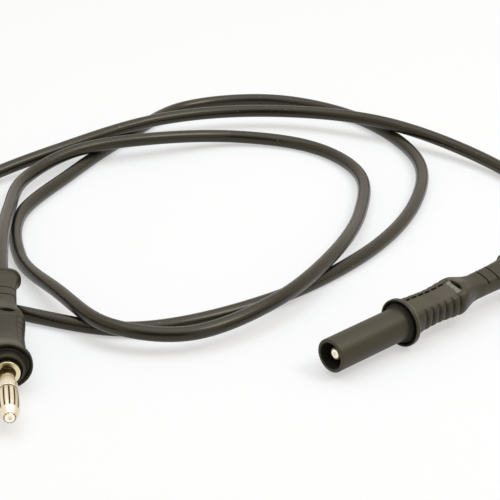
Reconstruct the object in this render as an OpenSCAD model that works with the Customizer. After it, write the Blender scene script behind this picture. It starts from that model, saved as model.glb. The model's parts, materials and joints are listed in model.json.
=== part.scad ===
// Black 4 mm test lead in a loose double loop, with a sprung banana plug on one end
// and a sleeved safety plug on the other. Millimetres, +Z up, floor at z = 0.
// The origin is on the floor, under the middle of the box round the two plugs.
// Each plug is drawn along its own X axis: 0 is the front face of the finger flange,
// the contact points to -X and the cable leaves at +X. Then it is laid in its place.

/* [Cable] */
// Outside diameter of the cable
cable_d = 3.5; // [3.2:0.1:3.6]
// Diameter of the stranded core
core_d = 1.6; // [1.2:0.1:1.7]
// Distance from the flange to the end of the stripped jacket
strip_at = 13; // [12:0.5:15]

/* [Grip] */
// Length from the flange's front face to the end of the boot
grip_l = 39.5; // [38:0.5:43]
// Diameter of the finger flange
flange_d = 11.4; // [11:0.1:12.4]
// Thickness of the finger flange
flange_t = 1.1; // [1:0.1:1.4]
// Diameter of the recess in the flange's front face
recess_d = 9.9; // [9.6:0.1:10.2]
// Depth of that recess
recess_l = 0.75; // [0.6:0.05:0.85]
// Width just behind the flange
front_w = 9.6; // [9.2:0.1:10]
// Width at the waist, between finger and thumb
waist_w = 8.5; // [8.2:0.1:9]
// Width at the shoulder
shoulder_w = 9.4; // [9.1:0.1:10]
// Width at the neck
neck_w = 6.2; // [5.8:0.1:6.8]
// Width of the boot's end lip
boot_w = 9.2; // [8.6:0.1:9.8]
// Height of the boot's end lip
boot_h = 6.6; // [6.2:0.1:7.2]
// Thickness of that lip
boot_lip_t = 1; // [0.8:0.1:1.4]
// Width of the flat top panel
panel_w = 4.5; // [4:0.1:5]
// Depth of the panel below the ribs' edge
panel_sunk = 0.14; // [0.06:0.02:0.2]
// Height of the front above the plug's axis
front_top = 4.2; // [4:0.05:4.4]
// Depth of the front below the axis
front_under = 3.4; // [3.2:0.05:3.7]
// Height of the waist above the axis
waist_top = 3.6; // [3.4:0.05:3.8]
// Depth of the waist below the axis
waist_under = 2.9; // [2.8:0.05:3.2]
// Height of the panel's end above the axis
panel_top = 3.95; // [3.8:0.05:4.2]
// Height of the dome behind the slot above the axis
dome_top = 4.15; // [4:0.05:4.5]
// Depth of the shoulder below the axis
shoulder_under = 3.45; // [3.2:0.05:3.8]
// Height of the neck above the axis
neck_top = 2.9; // [2.6:0.05:3.2]
// Depth of the neck below the axis
neck_under = 2.3; // [2.2:0.05:2.6]

/* [Ribs] */
// Distance from the flange to the first side groove
rib_first = 4.8; // [4.4:0.1:5.2]
// Pitch of the side grooves
rib_pitch = 2.25; // [2.1:0.05:2.35]
// Number of side grooves
rib_count = 6; // [4:1:6]
// Width of one groove
rib_w = 1.5; // [1.1:0.1:1.7]
// Depth of one groove
rib_depth = 0.4; // [0.2:0.02:0.5]

/* [Top slot] */
// Distance from the flange to the slot behind the panel
slot_at = 18; // [17.6:0.1:18.4]
// Length of the slot across the grip
slot_l = 3.7; // [3.3:0.1:4.2]
// Width of the slot at its middle
slot_w = 1.1; // [0.8:0.1:1.3]
// Depth of the slot below the panel
slot_depth = 0.9; // [0.6:0.1:1.1]

/* [Insert] */
// Diameter of the insert's ring in the flange recess
ring_d = 9.2; // [8.8:0.1:9.4]
// Height of that ring in front of the flange
ring_front = 0.3; // [0.1:0.05:0.5]
// Diameter of the hub that the grip is moulded round
hub_d = 5; // [4.8:0.1:5.3]
// Distance from the flange to the end of the hub
hub_l = 6.5; // [6:0.1:7]
// Depth of the hub's anchor groove
anchor_depth = 0.35; // [0.2:0.05:0.4]
// Diameter of the boss in front of the sprung plug's flange
boss_d = 7.8; // [7.4:0.1:8]
// Height of that boss in front of the flange
boss_l = 1.8; // [1.4:0.1:1.9]
// Wall of the boss round its dish
boss_wall = 0.5; // [0.4:0.05:0.6]

/* [Safety sleeve] */
// Outside diameter of the sleeve
sleeve_d = 7.9; // [7.7:0.05:8]
// Diameter of the sleeve's bore
sleeve_bore = 6.26; // [6.1:0.02:6.4]
// Length of the sleeve in front of the flange
sleeve_l = 21.85; // [21.6:0.05:24]
// Chamfer at the sleeve's mouth
mouth_chamfer = 0.2; // [0.1:0.05:0.3]

/* [Pin] */
// Distance from the flange to the tip of the pin
pin_l = 20.5; // [19.8:0.1:20.9]
// Diameter of the collar
collar_d = 5.72; // [5.4:0.02:5.8]
// Thickness of the collar
collar_t = 0.95; // [0.8:0.05:1.1]
// Distance from the flange to the collar's back face
collar_at = 2.05; // [1.9:0.05:2.3]
// Diameter of the shank between the collar and the cage
shank_d = 3; // [2.8:0.1:3.1]
// Diameter of the core inside the cage
pin_core_d = 2.6; // [2.4:0.1:2.7]
// Diameter of the pressed-in stretch
knurl_d = 3.9; // [3.7:0.1:4]
// Outside diameter of the solder barrel
barrel_d = 3.5; // [3.3:0.1:3.6]
// Distance from the flange to the end of the barrel
barrel_l = 11; // [9.5:0.5:11.5]

/* [Spring cage] */
// Free diameter of the sprung lamellae
spring_d = 4.55; // [4.4:0.05:4.7]
// Diameter of the ring above the lamellae
band_d = 4.3; // [4.1:0.05:4.4]
// Thickness of the spring sheet
sheet_t = 0.2; // [0.15:0.01:0.24]
// Number of lamellae
lamella_count = 12; // [10:1:12]
// Width of the slit between two lamellae
slit_w = 0.28; // [0.2:0.02:0.28]
// Distance from the flange to the top of the cage
cage_at = 6.3; // [5.9:0.1:6.6]
// Diameter of the cage at its tip
nose_d = 2.6; // [2.4:0.05:2.8]

/* [Fit] */
// Clearance round a piece that is moulded or pressed into another
seat_gap = 0.02; // [0.01:0.01:0.04]

/* [Hidden] */
$fn = 64;

// Where each plug lies: the flange's place on the floor, and its heading, rise and roll in degrees
left_at = [-53.6, -16.5];
left_turn = [98.9, 2, 11];
right_at = [32.6, 6.4];
right_turn = [42.8, 1.4, 14];

// Route of the free cable from the left boot to the right boot, chosen by hand.
// 1.75 lies on the floor and about 5.25 passes over another strand.
route = [
    [-62.3, 43.5, 6.75], [-63.5, 66.5, 5], [-62, 89, 3.75], [-49.5, 105.5, 5.25], [-29, 115.5, 5],
    [-6, 124, 2.5], [15.5, 119, 1.75], [28, 100.5, 1.75], [27, 73.5, 2.5], [19, 43.5, 5],
    [5, 18, 5.25], [-14, 2.5, 4.5], [-33, 4, 5.25], [-46.5, 22, 4.5], [-58, 44.5, 1.75],
    [-61, 70.5, 1.75], [-50.5, 97.5, 1.75], [-38, 123, 1.75], [-22, 148, 1.75], [5, 155, 1.75],
    [30, 141, 1.75], [44.5, 112.5, 1.75], [42, 82, 1.75], [28, 51.5, 1.75], [3.5, 24.5, 1.75],
    [-27, 9, 1.75], [-56.5, 16.5, 1.75], [-81.5, 28, 1.75], [-90, 56.5, 1.75], [-78, 85.5, 2.25],
    [-55, 107.5, 4.5], [-27.5, 129, 5.5], [4, 138, 5], [36.5, 129, 5.5], [64.5, 108, 2.75],
    [80, 77.5, 1.75], [77, 49.5, 3.5]
];
cable_sides = 8;
steps_per_knot = 2;

rubber = [0.24, 0.23, 0.20];
hard_plastic = [0.27, 0.26, 0.23];
gold = [0.86, 0.76, 0.52];
nickel = [0.85, 0.81, 0.73];
copper = [0.72, 0.45, 0.28];
jacket = [0.17, 0.16, 0.14];

// Placing
function heading(turn) = [cos(turn[1]) * cos(turn[0]), cos(turn[1]) * sin(turn[0]), sin(turn[1])];
function flange_centre(at, turn) = [at[0], at[1], flange_d / 2 * cos(turn[1])];
function on_axis(at, turn, s) = flange_centre(at, turn) + s * heading(turn);

module laid(at, turn) {
    translate(flange_centre(at, turn)) rotate([turn[2], -turn[1], turn[0]]) children();
}

// A turned piece: the outline holds [radius, distance along the plug's axis]
module turned(outline) {
    rotate([0, 90, 0]) rotate_extrude($fn = 96) polygon(outline);
}

// A skin over rings that all have as many points, closed by the first and last ring
module skin(rings) {
    n = len(rings[0]);
    m = len(rings);
    polyhedron(
        points = [for (ring = rings) each ring],
        faces = concat(
            [[for (j = [n - 1:-1:0]) j]],
            [for (i = [0:m - 2], j = [0:n - 1])
                let (a = i * n + j, b = i * n + (j + 1) % n) each [[a, b, a + n], [b, b + n, a + n]]],
            [[for (j = [0:n - 1]) (m - 1) * n + j]]),
        convexity = 10);
}

// A smooth value through table rows: column 0 is the distance, column k the value
function row_before(rows, s, i = 0) =
    i >= len(rows) - 2 || s < rows[i + 1][0] ? i : row_before(rows, s, i + 1);
function row_slope(rows, i, k) =
    let (a = max(i - 1, 0), b = min(i + 1, len(rows) - 1))
    (rows[b][k] - rows[a][k]) / (rows[b][0] - rows[a][0]);
function smooth_value(rows, s, k) =
    let (i = row_before(rows, s), h = rows[i + 1][0] - rows[i][0], t = (s - rows[i][0]) / h)
    rows[i][k] * (2 * t * t * t - 3 * t * t + 1) + rows[i + 1][k] * (3 * t * t - 2 * t * t * t)
    + h * row_slope(rows, i, k) * (t * t * t - 2 * t * t + t)
    + h * row_slope(rows, i + 1, k) * (t * t * t - t * t);

// The moulded grip's form: distance, half width, height above and depth below the axis, half panel.
// Each fall and flare holds shares: of the way along, of width, height, depth and panel.
waist_at = 10.5;
neck_from = 25;
lip_at = grip_l - boot_lip_t;
fillet_l = 0.35;
neck_panel = 2.4;
front_fall = [0.5, 0.85, 0.4, 0.6, 0.5];
waist_rise = [0.5, 0.5, 0.3, 0.65, 0.5];
shoulder_fall = [[0.1, 0.18, 0, 0.1, 0.1], [0.36, 0.57, 0.3, 0.42, 0.4], [0.6, 0.87, 0.62, 0.7, 0.7],
                 [0.83, 1, 0.86, 0.9, 0.9], [1, 1, 1, 1, 1]];
boot_flare = [[0.3, 0.06, 0, 0, 0], [0.6, 0.2, 0, 0.05, 0.1], [0.82, 0.45, 0.2, 0.35, 0.4],
              [1, 1, 1, 1, 1]];
flare_spare = [0.55, 0.25, 0.3];
boot_panel = 3;
function between(a, b, share) = a + (b - a) * share;
function row_between(a, b, shares) = [for (k = [0:4]) between(a[k], b[k], shares[k])];
front_row = [flange_t / 2, front_w / 2, front_top, front_under, panel_w / 2];
waist_row = [waist_at, waist_w / 2, waist_top, waist_under, panel_w / 2];
panel_row = [slot_at - slot_w / 2, shoulder_w / 2, panel_top, shoulder_under, panel_w / 2];
dome_row = [slot_at, shoulder_w / 2, dome_top, shoulder_under, panel_w / 2];
neck_row = [neck_from, neck_w / 2, neck_top, neck_under, neck_panel / 2];
boot_row = [lip_at - fillet_l, boot_w / 2 - flare_spare[0], boot_h / 2 - flare_spare[1],
            boot_h / 2 - flare_spare[2], boot_panel / 2];
grip_form = concat(
    [front_row, row_between(front_row, waist_row, front_fall), waist_row,
     row_between(waist_row, panel_row, waist_rise), panel_row],
    [for (shares = shoulder_fall) row_between(dome_row, neck_row, shares)],
    [for (shares = boot_flare) row_between(neck_row, boot_row, shares)]);
boot_lip = [0, boot_w / 2, boot_h / 2, boot_h / 2, boot_panel / 2];

// One section of the grip, clockwise round from the middle of the top panel.
// The panel lies a little below the edge that the side grooves run out through.
panel_crown = 0.08;
panel_steps = [0.55, 0.95];
side_angles = [9, 22, 38, 55, 73, 90];
under_angles = [18, 38, 58, 76];
side_power = 0.92;
under_power = 1;
function half_section(w, top, under, panel, sunk) = concat(
    [for (f = panel_steps) [panel * f, top - panel_crown * f * f - sunk]],
    [for (a = side_angles) [panel + (w - panel) * pow(sin(a), side_power),
                            (top - panel_crown) * pow(max(cos(a), 0), side_power)]],
    [for (a = under_angles) [w * pow(cos(a), under_power), -under * pow(sin(a), under_power)]]);
function whole_section(w, top, under, panel, sunk) =
    let (half = half_section(w, top, under, panel, sunk))
    concat([[0, top - sunk]], half, [[0, -under]],
           [for (i = [len(half) - 1:-1:0]) [-half[i][0], half[i][1]]]);

// Side grooves: how deep the groove is at a distance, and how much of it each point gets
function wave(gap, width) = abs(gap) < width / 2 ? 0.5 + 0.5 * cos(360 * gap / width) : 0;
function nearest_rib(s) = min(max(round((s - rib_first) / rib_pitch), 0), rib_count - 1);
function rib_cut(s) = rib_depth * wave(s - rib_first - rib_pitch * nearest_rib(s), rib_w);
rib_share = [0, 0, 0, 0.75, 1, 1, 1, 1, 1, 1, 0.8, 0.3, 0, 0];

// Two fine grooves cross the top of the neck
neck_grooves = [27.5, 30.8];
neck_groove_w = 0.5;
neck_groove_depth = 0.16;
function neck_cut(s) =
    neck_groove_depth * max([for (g = neck_grooves) wave(s - g, neck_groove_w)]);
neck_share = [1, 1, 1, 1, 1, 1, 0.5, 0, 0, 0, 0, 0, 0, 0];

function cut_at(s, j) = rib_cut(s) * rib_share[j] + neck_cut(s) * neck_share[j];

// The panel starts a little behind the flange and ends before the slot
panel_from = 2.4;
panel_ease = 0.8;
function sunk_at(s) =
    panel_sunk * min(max((s - panel_from) / panel_ease, 0), 1) * (s < slot_at - slot_w ? 1 : 0);
function grip_ring(s, form, cuts) =
    let (flat = whole_section(form[0], form[1], form[2], form[3], cuts * sunk_at(s)), last = len(flat))
    [for (j = [0:last - 1])
        let (p = flat[j], k = min(j, last - j), keep = 1 - cuts * cut_at(s, k) / norm(p))
        [s, p[0] * keep, p[1] * keep]];
function body_ring(s) = grip_ring(s, [for (k = [1:4]) smooth_value(grip_form, s, k)], 1);
function lip_ring(s, spare) =
    grip_ring(s, [boot_lip[1] - spare, boot_lip[2] - spare, boot_lip[3] - spare, boot_lip[4]], 0);

rib_stations = [for (i = [0:rib_count - 1], q = [-2:2]) rib_first + i * rib_pitch + q * rib_w / 4];
behind_ribs = rib_first + (rib_count - 1) * rib_pitch + rib_w / 2;
neck_stations = [for (g = neck_grooves, q = [-1, 0, 1]) g + q * neck_groove_w / 2];
body_stations = concat(
    [flange_t / 2, panel_from, panel_from + panel_ease], rib_stations,
    [for (s = [behind_ribs + 0.3:0.6:slot_at + 3]) s],
    [for (s = [slot_at + 3.5:1.1:neck_grooves[0] - 0.6]) s], neck_stations,
    [for (s = [neck_grooves[1] + 1:1.2:lip_at - fillet_l - 0.5]) s], [lip_at - fillet_l]);

// Insert moulding, as the sprung plug and the sleeve share it behind the flange.
// The list runs from the ring's front edge to the hub's end and back up the pin's hole.
seat_at = recess_l;
knurl_from = 1;
knurl_to = 4;
anchor_at = 2.6;
anchor_l = 1;
function hub_outline(gap) = [
    [hub_d / 2 + gap, seat_at], [hub_d / 2 + gap, anchor_at],
    [hub_d / 2 - anchor_depth + gap, anchor_at + 0.2],
    [hub_d / 2 - anchor_depth + gap, anchor_at + anchor_l - 0.2],
    [hub_d / 2 + gap, anchor_at + anchor_l], [hub_d / 2 + gap, hub_l + gap]];
pin_hole = [
    [barrel_d / 2 + seat_gap, hub_l], [barrel_d / 2 + seat_gap, knurl_to + seat_gap],
    [knurl_d / 2 + seat_gap, knurl_to + seat_gap], [knurl_d / 2 + seat_gap, knurl_from - seat_gap],
    [shank_d / 2 + seat_gap, knurl_from - seat_gap]];
insert_back = concat([[ring_d / 2, seat_at]], hub_outline(0), pin_hole);
pad_d = 4.6;
dish_at = 1.2;
pad = [[shank_d / 2 + seat_gap, -collar_at], [pad_d / 2, -collar_at], [pad_d / 2 + 0.2, -dish_at]];

module left_insert() {
    color(hard_plastic) laid(left_at, left_turn) turned(concat(
        pad,
        [[boss_d / 2 - boss_wall - 0.1, -dish_at], [boss_d / 2 - boss_wall, -boss_l],
         [boss_d / 2 - 0.1, -boss_l], [boss_d / 2, -boss_l + 0.1], [boss_d / 2, -ring_front - 0.25],
         [boss_d / 2 + 0.25, -ring_front], [ring_d / 2 - 0.1, -ring_front],
         [ring_d / 2, -ring_front + 0.1]],
        insert_back));
}

module right_sleeve() {
    color(hard_plastic) laid(right_at, right_turn) turned(concat(
        pad,
        [[sleeve_bore / 2, -dish_at], [sleeve_bore / 2, -sleeve_l + mouth_chamfer],
         [sleeve_bore / 2 + mouth_chamfer, -sleeve_l], [sleeve_d / 2 - mouth_chamfer, -sleeve_l],
         [sleeve_d / 2, -sleeve_l + mouth_chamfer], [sleeve_d / 2, -ring_front - 0.5],
         [sleeve_d / 2 + 0.15, -ring_front - 0.15], [sleeve_d / 2 + 0.35, -ring_front],
         [ring_d / 2 - 0.1, -ring_front], [ring_d / 2, -ring_front + 0.1]],
        insert_back));
}

// Soft grip: flange and lofted body, less the recess, the hub's hole and the cable's hole
flange_edge = 0.15;
dish_rim = 0.3;
module grip_solid() {
    turned([[0, 0], [flange_d / 2 - flange_edge, 0], [flange_d / 2, flange_edge],
            [flange_d / 2, flange_t - flange_edge], [flange_d / 2 - flange_edge, flange_t],
            [0, flange_t]]);
    skin(concat([for (s = body_stations) body_ring(s)],
                [lip_ring(lip_at, 0.12), lip_ring(lip_at + 0.15, 0), lip_ring(grip_l - 0.15, 0),
                 lip_ring(grip_l, 0.12)]));
}
module grip_holes() {
    turned(concat(
        [[0, -1], [flange_d / 2 - dish_rim, -1], [flange_d / 2 - dish_rim, 0],
         [recess_d / 2, dish_rim], [recess_d / 2, seat_at]],
        hub_outline(seat_gap),
        [[barrel_d / 2 + seat_gap, hub_l + seat_gap], [barrel_d / 2 + seat_gap, barrel_l + seat_gap],
         [core_d / 2 + seat_gap, barrel_l + seat_gap], [core_d / 2 + seat_gap, strip_at],
         [cable_d / 2 + seat_gap, strip_at], [cable_d / 2 + seat_gap, grip_l + 1], [0, grip_l + 1]]));
}
// The slot is a lens seen from above, cut down behind the panel's end
module top_slot() {
    lens_r = (slot_l * slot_l / slot_w + slot_w) / 4;
    floor_z = smooth_value(grip_form, slot_at - slot_w / 2, 2) - slot_depth;
    translate([slot_at, 0, floor_z]) intersection_for(side = [-1, 1])
        translate([side * (lens_r - slot_w / 2), 0, 0]) cylinder(r = lens_r, h = flange_d / 2, $fn = 96);
}
module grip() {
    color(rubber) difference() {
        grip_solid();
        grip_holes();
        top_slot();
    }
}
module left_grip() { laid(left_at, left_turn) grip(); }
module right_grip() { laid(right_at, right_turn) grip(); }

// Turned pin: tip, core in the cage, shank, collar, pressed-in stretch and solder barrel
head_at = 18.4;
head_wide = (spring_d - 0.45) / 2 - sheet_t;
barrel_bore = core_d + 2 * seat_gap;
solder_cup_l = 4.5;
barrel_floor = barrel_l - solder_cup_l;
module pin() {
    color(gold) turned([
        [0, -pin_l + 0.3], [0.4, -pin_l + 0.1], [0.45, -pin_l], [nose_d / 2 - sheet_t - 0.14, -pin_l],
        [nose_d / 2 - sheet_t - seat_gap, -pin_l + 0.12], [head_wide - seat_gap, -head_at],
        [pin_core_d / 2, -head_at + 0.3], [pin_core_d / 2, -cage_at - 1.9],
        [shank_d / 2, -cage_at - 1.75], [shank_d / 2, -collar_at - collar_t - 0.3],
        [shank_d / 2 + 0.1, -collar_at - collar_t - 0.1], [shank_d / 2 + 0.3, -collar_at - collar_t],
        [collar_d / 2 - 0.2, -collar_at - collar_t], [collar_d / 2, -collar_at - collar_t + 0.2],
        [collar_d / 2, -collar_at - 0.1], [collar_d / 2 - 0.1, -collar_at],
        [shank_d / 2, -collar_at], [shank_d / 2, knurl_from], [knurl_d / 2, knurl_from],
        [knurl_d / 2, knurl_to], [barrel_d / 2, knurl_to], [barrel_d / 2, barrel_l],
        [barrel_bore / 2, barrel_l], [barrel_bore / 2, barrel_floor], [0, barrel_floor]]);
}
module left_pin() { laid(left_at, left_turn) pin(); }
module right_pin() { laid(right_at, right_turn) pin(); }

// Lantern cage of sheet metal: it grips the shank, bulges in lamellae and closes on the tip
cap_l = 1.7;
band_l = 2.4;
land_l = 3;
band_at = cage_at + cap_l;
slit_from = band_at + band_l;
slit_to = head_at - 0.4;
land_at = (slit_from + slit_to) / 2 - land_l / 2;
band_groove = 0.16;
slit_turn = -7.5;
function cage_wall(t) = [
    [shank_d / 2 + seat_gap + sheet_t - t, -cage_at],
    [shank_d / 2 + seat_gap + sheet_t - t, -band_at + 0.1],
    [band_d / 2 - t, -band_at - 0.2], [band_d / 2 - t, -slit_from + 0.2],
    [band_d / 2 - band_groove - t, -slit_from - 0.05], [band_d / 2 - band_groove - t, -slit_from - 0.25],
    [band_d / 2 - 0.02 - t, -slit_from - 0.4],
    [spring_d / 2 - 0.03 - t, -land_at + 0.8], [spring_d / 2 - t, -land_at],
    [spring_d / 2 - t, -land_at - land_l], [spring_d / 2 - 0.05 - t, -land_at - land_l - 0.8],
    [head_wide + sheet_t - t, -slit_to], [head_wide + sheet_t - t, -head_at],
    [nose_d / 2 - t, -pin_l + 0.1]];
module cage() {
    inner = cage_wall(sheet_t);
    color(nickel) difference() {
        turned(concat(cage_wall(0), [for (i = [len(inner) - 1:-1:0]) inner[i]]));
        for (i = [0:lamella_count - 1]) rotate([360 / lamella_count * i + slit_turn, 0, 0]) {
            translate([-slit_to, -slit_w / 2, 0]) cube([slit_to - slit_from - 0.3, slit_w, spring_d]);
            translate([-pin_l + 0.1, 0, 0]) rotate([0, 0, 45]) cube([0.34, 0.34, spring_d / 2]);
        }
    }
}
module left_cage() { laid(left_at, left_turn) cage(); }
module right_cage() { laid(right_at, right_turn) cage(); }

// Bare end of the stranded core, in the barrel and back to the cable's jacket
strand_d = core_d / 3;
module core_end() {
    color(copper) rotate([0, 90, 0]) intersection() {
        translate([0, 0, barrel_floor]) cylinder(d = core_d, h = strip_at - barrel_floor);
        union() {
            translate([0, 0, barrel_floor]) cylinder(d = strand_d * 1.1, h = strip_at - barrel_floor);
            for (i = [0:5]) rotate(60 * i) translate([strand_d, 0, barrel_floor])
                cylinder(d = strand_d * 1.1, h = strip_at - barrel_floor, $fn = 24);
        }
    }
}
module left_core_end() { laid(left_at, left_turn) core_end(); }
module right_core_end() { laid(right_at, right_turn) core_end(); }

// Cable: straight inside each grip, then one smooth curve through the route
left_out = heading(left_turn);
right_out = heading(right_turn);
left_end = on_axis(left_at, left_turn, grip_l);
right_end = on_axis(right_at, right_turn, grip_l);
last_point = route[len(route) - 1];
knots = concat([route[0] - 2 * norm(route[0] - left_end) * left_out, left_end], route,
               [right_end, last_point - 2 * norm(last_point - right_end) * right_out]);
function curve_at(a, b, c, d, t) =
    (2 * b + (c - a) * t + (2 * a - 5 * b + 4 * c - d) * t * t + (3 * b - a - 3 * c + d) * t * t * t) / 2;
function curve_way(a, b, c, d, t) =
    (c - a) + 2 * (2 * a - 5 * b + 4 * c - d) * t + 3 * (3 * b - a - 3 * c + d) * t * t;
free_rings = [for (i = [1:len(knots) - 3], q = [0:steps_per_knot - 1])
    let (a = knots[i - 1], b = knots[i], c = knots[i + 1], d = knots[i + 2], t = q / steps_per_knot)
    [curve_at(a, b, c, d, t), curve_way(a, b, c, d, t)]];
cable_rings = concat([[on_axis(left_at, left_turn, strip_at), left_out]], free_rings,
                     [[right_end, -right_out], [on_axis(right_at, right_turn, strip_at), -right_out]]);
function unit(v) = v / norm(v);
function cable_ring(centre, way) =
    let (ahead = unit(way), left = unit(cross([0, 0, 1], ahead)), up = cross(ahead, left),
         c = [centre[0], centre[1], max(centre[2], cable_d / 2)])
    [for (j = [0:cable_sides - 1])
        let (a = 360 * j / cable_sides) c + cable_d / 2 * (cos(a) * up + sin(a) * left)];
module cable() {
    color(jacket) skin([for (ring = cable_rings) cable_ring(ring[0], ring[1])]);
}

cable();
left_grip();
left_insert();
left_pin();
left_cage();
left_core_end();
right_grip();
right_sleeve();
right_pin();
right_cage();
right_core_end();
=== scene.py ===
# %% [markdown]
# A black 4 mm test lead, dressed for a picture. The lead is 1.2 m of thin, soft cable with a moulded plug
# on each end: a bare sprung plug on the left and a sleeved safety plug on the right. The solids are
# already in the scene as CAD nodes in one fixed frame. This lesson gives each of them the surface that the
# eye expects: rounded edges, finger grooves, a slit spring, and materials named for what they are.
# %% Load the frame
import json
import math

import bmesh
import bpy
from mathutils import Matrix, Vector

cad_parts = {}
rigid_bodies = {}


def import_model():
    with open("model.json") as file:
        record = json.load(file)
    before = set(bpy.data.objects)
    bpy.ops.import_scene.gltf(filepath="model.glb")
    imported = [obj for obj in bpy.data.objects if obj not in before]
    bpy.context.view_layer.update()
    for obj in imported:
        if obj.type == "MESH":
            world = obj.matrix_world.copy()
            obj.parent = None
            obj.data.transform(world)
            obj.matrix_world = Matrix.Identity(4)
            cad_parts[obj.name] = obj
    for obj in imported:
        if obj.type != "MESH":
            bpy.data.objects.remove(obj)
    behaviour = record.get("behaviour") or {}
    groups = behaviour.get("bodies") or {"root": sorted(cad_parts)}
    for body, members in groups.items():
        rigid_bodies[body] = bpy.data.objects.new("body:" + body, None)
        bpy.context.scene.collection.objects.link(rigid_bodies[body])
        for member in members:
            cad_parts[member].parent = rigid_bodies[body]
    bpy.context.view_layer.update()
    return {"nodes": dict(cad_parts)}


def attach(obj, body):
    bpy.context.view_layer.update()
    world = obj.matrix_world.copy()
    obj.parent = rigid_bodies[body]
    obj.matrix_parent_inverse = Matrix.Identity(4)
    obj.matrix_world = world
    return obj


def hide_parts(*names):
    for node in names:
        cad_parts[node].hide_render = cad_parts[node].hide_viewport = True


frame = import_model()
bpy.ops.object.select_all(action="DESELECT")
scene = bpy.context.scene
MM = 0.001
print("CAD nodes:", sorted(frame["nodes"]))

# %% [markdown]
# The camera stands where the photographer's stood: in front of the lead, looking down by about 26 degrees
# through a long lens. It could be aimed at a target, but a turn built from two plain angles is easier to
# read and to change: first the tilt down, then a slight roll about the line of sight.
# %% Camera
CAMERA_AT = (-1.5, -364.69, 203.04)
CAMERA_DOWN = 25.81
CAMERA_ROLL = 0.96
LENS_MM = 133.2
SENSOR_MM = 36

bpy.ops.object.camera_add()
camera = bpy.context.object
camera.data.lens = LENS_MM
camera.data.sensor_width = SENSOR_MM
camera.data.clip_start = 0.01
camera.data.clip_end = 20
camera.matrix_world = (
    Matrix.Translation(Vector(CAMERA_AT) * MM)
    @ Matrix.Rotation(math.radians(90 - CAMERA_DOWN), 4, "X")
    @ Matrix.Rotation(math.radians(CAMERA_ROLL), 4, "Z")
)
scene.camera = camera
print("camera at", [round(v, 4) for v in camera.location])

# %% [markdown]
# Each plug is modelled along its own X axis: 0 is the front face of the finger flange, the contact points
# to minus X and the cable leaves at plus X. Working along an axis keeps round things easy. One matrix per
# plug then lays it on the floor, rolled and turned as the real one happens to lie.
# %% Where the plugs lie
FLANGE_D = 11.4
GRIP_L = 39.5
STRIP_AT = 13.0


def laid(at, turn):
    """The matrix that lays a plug: where its flange stands, and its heading, rise and roll in degrees."""
    heading, rise, roll = (math.radians(a) for a in turn)
    centre = Vector((at[0], at[1], FLANGE_D / 2 * math.cos(rise)))
    return (
        Matrix.Translation(centre * MM)
        @ Matrix.Rotation(heading, 4, "Z")
        @ Matrix.Rotation(-rise, 4, "Y")
        @ Matrix.Rotation(roll, 4, "X")
    )


LEFT = laid((-53.6, -16.5), (98.9, 2, 11))
RIGHT = laid((32.6, 6.4), (42.8, 1.4, 14))


def on_axis(plug, s):
    """The point at s millimetres along a plug's axis, in metres."""
    return plug @ Vector((s * MM, 0, 0))


print("left boot ends at", [round(v, 4) for v in on_axis(LEFT, GRIP_L)])
print("right boot ends at", [round(v, 4) for v in on_axis(RIGHT, GRIP_L)])

# %% [markdown]
# The cable is one smooth curve. Its route is a list of points, chosen along the two loose loops
# that the lead lies in: 1.75 mm is a strand on the floor, about 5.25 mm one that passes over another.
# A Catmull-Rom curve goes through every point, so the route can be read straight off the list.
# %% Route of the cable
CABLE_D = 3.5
ROUTE = [
    (-62.3, 43.5, 6.75), (-63.5, 66.5, 5), (-62, 89, 3.75), (-49.5, 105.5, 5.25), (-29, 115.5, 5),
    (-6, 124, 2.5), (15.5, 119, 1.75), (28, 100.5, 1.75), (27, 73.5, 2.5), (19, 43.5, 5),
    (5, 18, 5.25), (-14, 2.5, 4.5), (-33, 4, 5.25), (-46.5, 22, 4.5), (-58, 44.5, 1.75),
    (-61, 70.5, 1.75), (-50.5, 97.5, 1.75), (-38, 123, 1.75), (-22, 148, 1.75), (5, 155, 1.75),
    (30, 141, 1.75), (44.5, 112.5, 1.75), (42, 82, 1.75), (28, 51.5, 1.75), (3.5, 24.5, 1.75),
    (-27, 9, 1.75), (-56.5, 16.5, 1.75), (-81.5, 28, 1.75), (-90, 56.5, 1.75), (-78, 85.5, 2.25),
    (-55, 107.5, 4.5), (-27.5, 129, 5.5), (4, 138, 5), (36.5, 129, 5.5), (64.5, 108, 2.75),
    (80, 77.5, 1.75), (77, 49.5, 3.5),
]
RING_EVERY = 1.6


def curve_at(a, b, c, d, t):
    """A point between b and c on the Catmull-Rom curve through a, b, c and d."""
    return (2 * b + (c - a) * t + (2 * a - 5 * b + 4 * c - d) * t**2 + (3 * b - a - 3 * c + d) * t**3) / 2


left_end, right_end = on_axis(LEFT, GRIP_L), on_axis(RIGHT, GRIP_L)
left_out, right_out = LEFT.to_3x3() @ Vector((1, 0, 0)), RIGHT.to_3x3() @ Vector((1, 0, 0))
route = [Vector(point) * MM for point in ROUTE]
# The curve's direction at a boot is that from the knot before it to the knot after it. A knot far back on
# the plug's axis makes the cable leave nearly straight.
KNOT_BACK = 2
knots = [route[0] - KNOT_BACK * (route[0] - left_end).length * left_out, left_end, *route, right_end]
knots.append(route[-1] - KNOT_BACK * (route[-1] - right_end).length * right_out)

centres = []
for a, b, c, d in zip(knots, knots[1:], knots[2:], knots[3:]):
    steps = round((c - b).length / (RING_EVERY * MM))
    centres += [curve_at(a, b, c, d, step / steps) for step in range(steps)]
for point in centres:
    point.z = max(point.z, CABLE_D / 2 * MM)
# Inside each grip the cable runs straight, from where its jacket was stripped
inside = round((GRIP_L - STRIP_AT) / RING_EVERY)
depths = [STRIP_AT + (GRIP_L - STRIP_AT) * step / inside for step in range(inside)]
centres = [on_axis(LEFT, s) for s in depths] + centres
centres += [right_end] + [on_axis(RIGHT, s) for s in reversed(depths)]
cable_length = sum((b - a).length for a, b in zip(centres, centres[1:]))
print("cable:", len(centres), "rings,", round(cable_length, 4), "m from strip to strip")

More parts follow.
